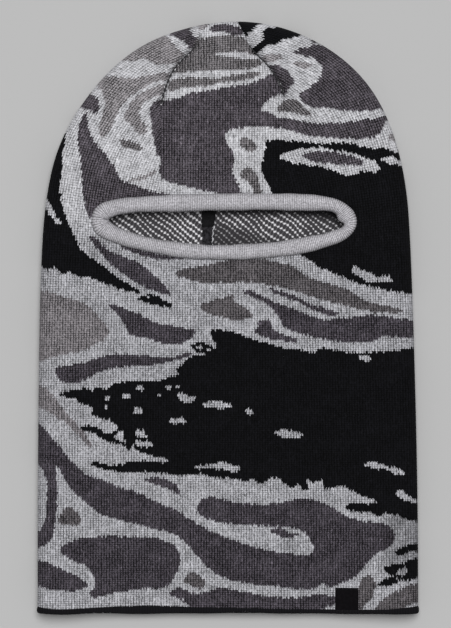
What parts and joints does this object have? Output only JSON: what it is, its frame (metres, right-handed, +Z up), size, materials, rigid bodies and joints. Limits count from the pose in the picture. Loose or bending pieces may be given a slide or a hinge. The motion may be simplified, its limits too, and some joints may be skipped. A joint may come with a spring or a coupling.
{
  "type": "balaclava",
  "caption": "Knitted balaclava with a narrow bound eye slot, darted crown and rolled neck hem, laid flat on its back.",
  "frame": {"origin": "centre of the bounding box at the level of the surface that the balaclava lies on", "axes": "+Z up out of the surface through the front of the balaclava, +Y from the neck hem to the crown, +X to the viewer's right"},
  "size_m": [0.2449, 0.381, 0.0154],
  "materials": {
    "camo_knit": "thick double-jacquard knit in four yarns, black to light grey, matte and slightly fuzzy",
    "trim_knit": "finely ribbed light grey knitted tube, matte",
    "black_edge": "rolled black knitted edge, matte",
    "black_tape": "black woven twill tape, matte",
    "woven_label": "black damask label with a soft satin sheen, blank",
    "black_thread": "black spun polyester sewing thread",
    "grey_thread": "grey linking yarn"
  },
  "bodies": {
    "balaclava": {"front_panel": "camo_knit", "back_left_panel": "camo_knit", "back_right_panel": "camo_knit", "hem_band": "black_edge", "hem_stitching": "black_thread", "eye_trim": "trim_knit", "eye_trim_join_seam": "trim_knit", "eye_trim_linking": "grey_thread", "back_seam_thread": "black_thread", "back_seam_tape": "black_tape", "back_tape_stitches": "grey_thread", "care_label_sewn_edge": "woven_label", "care_label_stitches": "black_thread", "hem_label": "woven_label", "hem_label_stitches": "black_thread", "front_left_dart_seam": "grey_thread", "front_right_dart_seam": "grey_thread", "back_left_dart_seam": "grey_thread", "back_right_dart_seam": "grey_thread"},
    "care_label": {"care_label": "woven_label"}
  },
  "joints": [
    {"name": "care_label_lift", "type": "hinge", "parent": "balaclava", "child": "care_label", "pos_m": [-0.0125, 0.0865, 0.0045], "axis": [-1, 0, 0], "range_deg": [0, 10]}
  ]
}
